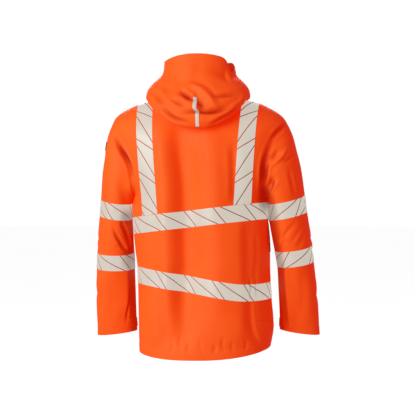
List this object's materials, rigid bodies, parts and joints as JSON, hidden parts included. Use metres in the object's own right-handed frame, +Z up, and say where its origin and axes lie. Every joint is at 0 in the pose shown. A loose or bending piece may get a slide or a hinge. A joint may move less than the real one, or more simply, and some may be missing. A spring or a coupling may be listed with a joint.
{
  "type": "hooded hi-vis work jacket",
  "caption": "Hooded orange hi-vis shell jacket in its worn form, hollow, with front zip, drop tail and reflective tape round body and sleeves and over the shoulders.",
  "frame": {"origin": "base of the neck, where the wearer's shoulders carry the jacket", "axes": "+Z up, -Y the way the wearer faces, +X the wearer's left"},
  "size_m": [0.7052, 0.3335, 0.9225],
  "materials": {
    "orange_cloth": "matt coated woven polyester",
    "reflective_tape": "silver reflective film on cloth",
    "black_zip_tape": "woven tape",
    "dark_patch": "woven label cloth",
    "zip_teeth": "moulded teeth",
    "slider_metal": "dark lacquered",
    "pull_tab": "plain"
  },
  "bodies": {
    "jacket": {"back": "orange_cloth", "band_lower_back": "reflective_tape", "band_lower_front_left": "reflective_tape", "band_lower_front_right": "reflective_tape", "band_upper_back": "reflective_tape", "band_upper_front_left": "reflective_tape", "band_upper_front_right": "reflective_tape", "brace_back_left": "reflective_tape", "brace_back_right": "reflective_tape", "brace_front_left": "reflective_tape", "brace_front_right": "reflective_tape", "cuff_tab_left": "orange_cloth", "cuff_tab_right": "orange_cloth", "front_left": "orange_cloth", "front_right": "orange_cloth", "hood_centre": "orange_cloth", "hood_left": "orange_cloth", "hood_right": "orange_cloth", "hood_strip": "reflective_tape", "sleeve_band_lower_left": "reflective_tape", "sleeve_band_lower_right": "reflective_tape", "sleeve_band_upper_left": "reflective_tape", "sleeve_band_upper_right": "reflective_tape", "sleeve_left": "orange_cloth", "sleeve_patch": "dark_patch", "sleeve_right": "orange_cloth", "vent_zip_left": "black_zip_tape", "vent_zip_right": "black_zip_tape", "zip_chain": "zip_teeth", "zip_slider": "slider_metal", "zip_tape_left": "black_zip_tape", "zip_tape_right": "black_zip_tape"},
    "pull_tab": {"zip_pull": "pull_tab"}
  },
  "joints": [
    {"name": "pull_tab_swing", "type": "hinge", "parent": "jacket", "child": "pull_tab", "pos_m": [0.004, -0.11027, 0.0651], "axis": [-1, 0, 0], "range_deg": [-10, 160]}
  ]
}
